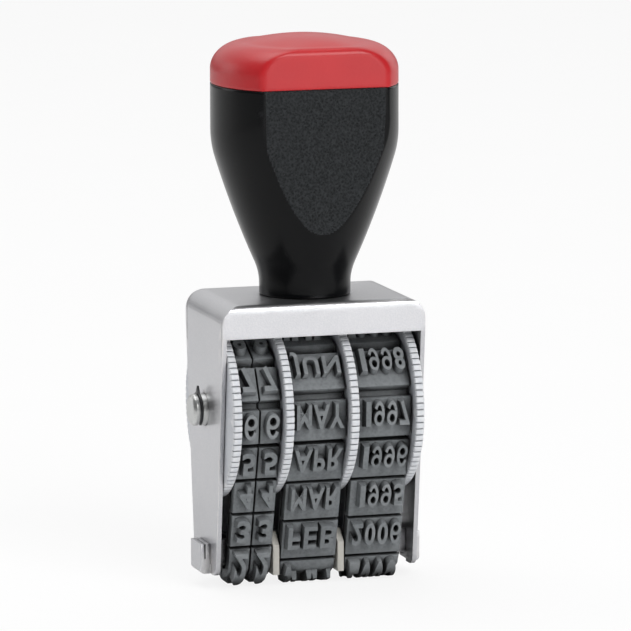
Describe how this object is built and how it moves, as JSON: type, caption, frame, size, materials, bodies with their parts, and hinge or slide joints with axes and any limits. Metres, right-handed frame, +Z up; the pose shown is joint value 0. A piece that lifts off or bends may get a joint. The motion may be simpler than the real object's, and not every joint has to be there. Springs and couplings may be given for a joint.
{
  "type": "rotary date stamp",
  "caption": "Hand date stamp: rubber type bands on serrated thumbwheels in a bent steel frame, under a flared black handle with a red cap.",
  "frame": {"origin": "centre of the printing face, which the stamp stands on, at the base of the bounding box", "axes": "+X across the bands from the day bands to the year band, +Y from the front to the rear, +Z up along the handle"},
  "size_m": [0.032, 0.0236, 0.0735],
  "materials": {
    "nickel": "satin nickel plate",
    "handle_black": "gloss, with fine-grained flat faces",
    "cap_red": "satin gloss",
    "fastener_steel": "zinc plated",
    "insert_brass": "machined",
    "clip_steel": "blackened spring steel",
    "wheel_grey": "moulded, satin",
    "band_rubber": "matt moulded rubber",
    "guide_pale": "moulded, satin"
  },
  "bodies": {
    "stamp_frame": {"frame": "nickel", "handle_body": "handle_black", "handle_cap": "cap_red", "handle_screw": "fastener_steel", "screw_washer": "fastener_steel", "handle_insert": "insert_brass", "axle": "nickel", "axle_clip_left": "clip_steel", "axle_clip_right": "clip_steel", "day_tens_band": "band_rubber", "day_units_band": "band_rubber", "month_band": "band_rubber", "year_band": "band_rubber", "platen": "nickel", "guide_left": "guide_pale", "guide_right": "guide_pale"},
    "day_tens_wheel": {"day_tens_wheel": "wheel_grey"},
    "day_units_wheel": {"day_units_wheel": "wheel_grey"},
    "month_wheel": {"month_wheel": "wheel_grey"},
    "year_wheel": {"year_wheel": "wheel_grey"}
  },
  "joints": [
    {"name": "day_tens_spin", "type": "hinge", "parent": "stamp_frame", "child": "day_tens_wheel", "pos_m": [0, 0, 0.0237], "axis": [1, 0, 0], "continuous": true},
    {"name": "day_units_spin", "type": "hinge", "parent": "stamp_frame", "child": "day_units_wheel", "pos_m": [0, 0, 0.0237], "axis": [1, 0, 0], "continuous": true},
    {"name": "month_spin", "type": "hinge", "parent": "stamp_frame", "child": "month_wheel", "pos_m": [0, 0, 0.0237], "axis": [1, 0, 0], "continuous": true},
    {"name": "year_spin", "type": "hinge", "parent": "stamp_frame", "child": "year_wheel", "pos_m": [0, 0, 0.0237], "axis": [1, 0, 0], "continuous": true}
  ]
}
